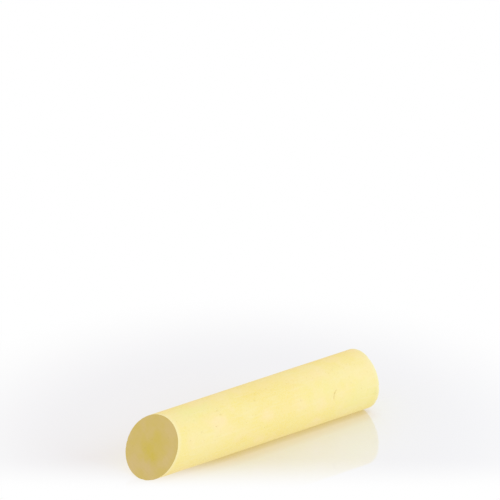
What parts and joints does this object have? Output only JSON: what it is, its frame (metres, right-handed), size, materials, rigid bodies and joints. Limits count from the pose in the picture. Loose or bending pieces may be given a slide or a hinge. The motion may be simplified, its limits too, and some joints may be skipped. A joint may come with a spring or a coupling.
{
  "type": "chalk stick",
  "caption": "Round stick of pale yellow board chalk, square at one end and sliced on a slant at the other, with a small nick in its side.",
  "frame": {"origin": "middle of the square end face, on which the stick stands", "axes": "+Z along the stick's axis, from the square end to the slanted end; +X towards the stick's short side, the way the slanted face falls"},
  "size_m": [0.0159, 0.0158, 0.0717],
  "materials": {
    "yellow_chalk": "matte, powdery, tinted through; the slanted face is a duller tan"
  },
  "bodies": {
    "root": {"chalk_stick": "yellow_chalk"}
  },
  "joints": []
}
